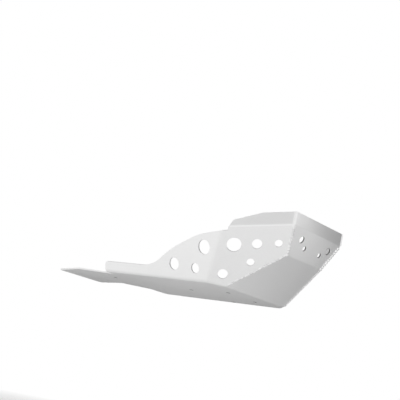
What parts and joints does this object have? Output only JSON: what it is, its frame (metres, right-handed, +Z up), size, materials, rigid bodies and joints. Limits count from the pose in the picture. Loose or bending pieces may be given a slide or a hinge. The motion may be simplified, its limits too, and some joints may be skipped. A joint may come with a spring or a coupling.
{
  "type": "motorcycle skid plate",
  "caption": "Folded aluminium skid plate for a motorcycle: flat belly, raised front with welded corners, leaning side walls pierced with round holes, and a notched tail.",
  "frame": {"origin": "under the middle of the whole plate, on the plane that the belly rests on", "axes": "+Z up, -Y towards the front of the motorcycle, -X towards its right side"},
  "size_m": [0.3426, 0.664, 0.1669],
  "materials": {
    "sheet": "satin, fine blasted grain"
  },
  "bodies": {
    "root": {"skid_plate": "sheet"}
  },
  "joints": []
}
